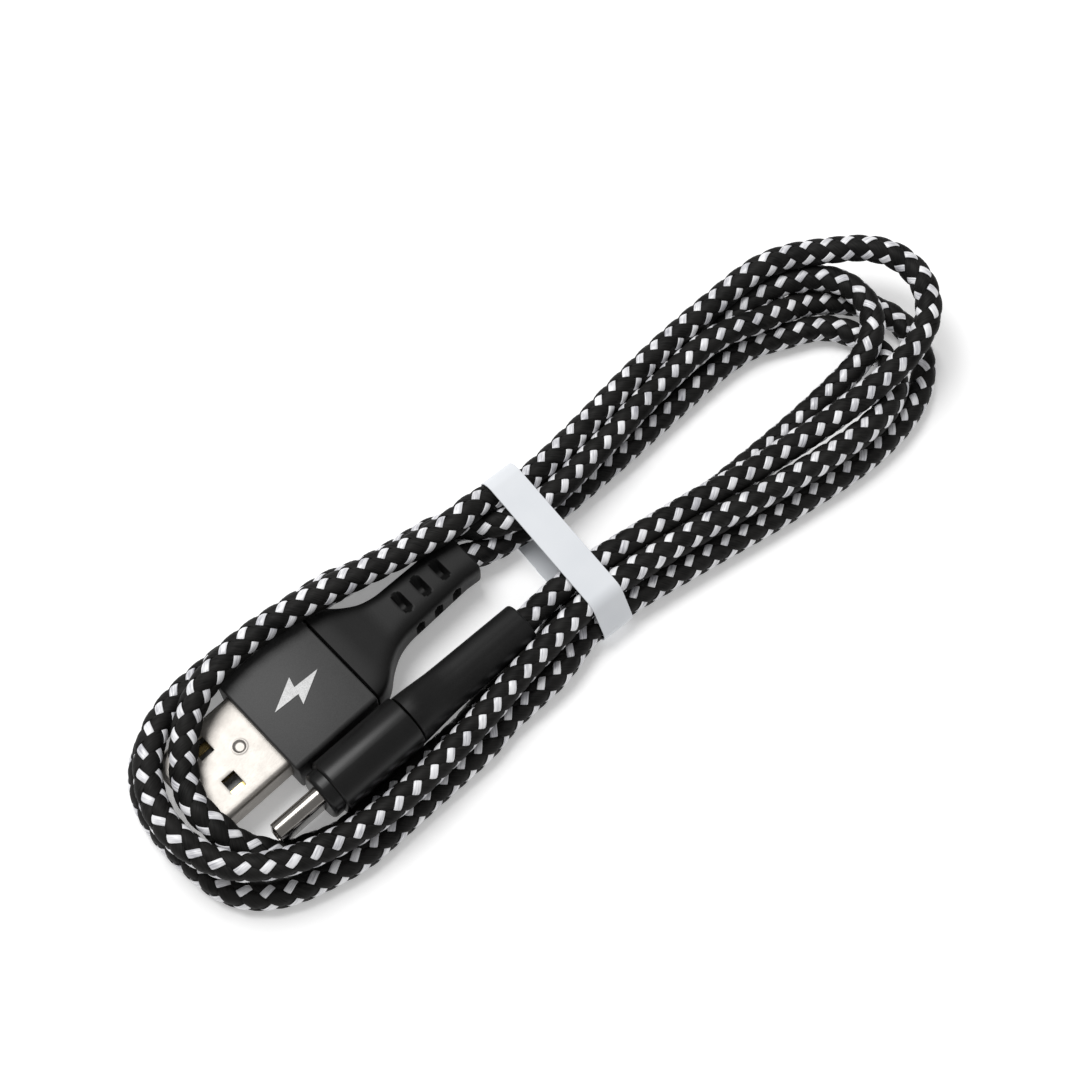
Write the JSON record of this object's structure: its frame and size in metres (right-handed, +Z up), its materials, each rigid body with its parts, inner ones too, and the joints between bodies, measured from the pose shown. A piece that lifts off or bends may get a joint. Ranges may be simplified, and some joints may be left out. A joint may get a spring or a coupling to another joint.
{
  "type": "charging cable",
  "caption": "Braided USB-A to USB-C charging cable wound into a flat hank, tied at its waist with a white paper band, with its plugs lying inside the near loop.",
  "frame": {"origin": "on the table, under the middle of the hank", "axes": "+X along the hank, from the plugs' end to the far loops; +Y across it, towards the USB-A plug's side; +Z up"},
  "size_m": [0.1267, 0.035, 0.0116],
  "materials": {
    "plug_steel": "bright drawn stainless steel, slightly warm",
    "gold_contact": "gold-plated spring metal",
    "white_plastic": "white moulded nylon",
    "sleeve_metal": "satin dark grey anodised",
    "black_plastic": "black moulded plastic",
    "boot_rubber": "soft matt black moulded elastomer",
    "mark_print": "light grey pad print",
    "circuit_board": "green solder mask",
    "wire_red": "red insulation",
    "wire_white": "white insulation",
    "wire_green": "green insulation",
    "wire_black": "black insulation",
    "band_paper": "smooth white coated paper",
    "cable_braid": "black braided yarn with white flecks"
  },
  "bodies": {
    "root": {"usb_a_shell": "plug_steel", "usb_a_tongue": "white_plastic", "usb_a_contact_1": "gold_contact", "usb_a_contact_2": "gold_contact", "usb_a_contact_3": "gold_contact", "usb_a_contact_4": "gold_contact", "usb_a_insert": "white_plastic", "usb_a_wire_red": "wire_red", "usb_a_wire_white": "wire_white", "usb_a_wire_green": "wire_green", "usb_a_wire_black": "wire_black", "usb_a_sleeve": "sleeve_metal", "usb_a_inner_mould": "black_plastic", "usb_a_boot": "boot_rubber", "usb_a_mark": "mark_print", "usb_c_shell": "plug_steel", "usb_c_insulator": "black_plastic", "usb_c_contact_a1": "gold_contact", "usb_c_contact_a2": "gold_contact", "usb_c_contact_a3": "gold_contact", "usb_c_contact_a4": "gold_contact", "usb_c_contact_a5": "gold_contact", "usb_c_contact_b1": "gold_contact", "usb_c_contact_b2": "gold_contact", "usb_c_contact_b3": "gold_contact", "usb_c_contact_b4": "gold_contact", "usb_c_contact_b5": "gold_contact", "usb_c_latch_upper": "plug_steel", "usb_c_latch_lower": "plug_steel", "usb_c_pcb": "circuit_board", "usb_c_resistor": "black_plastic", "usb_c_wire_red": "wire_red", "usb_c_wire_white": "wire_white", "usb_c_wire_green": "wire_green", "usb_c_wire_black": "wire_black", "usb_c_housing": "black_plastic", "usb_c_inner_mould": "black_plastic", "usb_c_boot": "boot_rubber", "tie_band": "band_paper", "cable_hank": "cable_braid", "cable_lead_usb_a": "cable_braid", "cable_lead_usb_c": "cable_braid"}
  },
  "joints": []
}
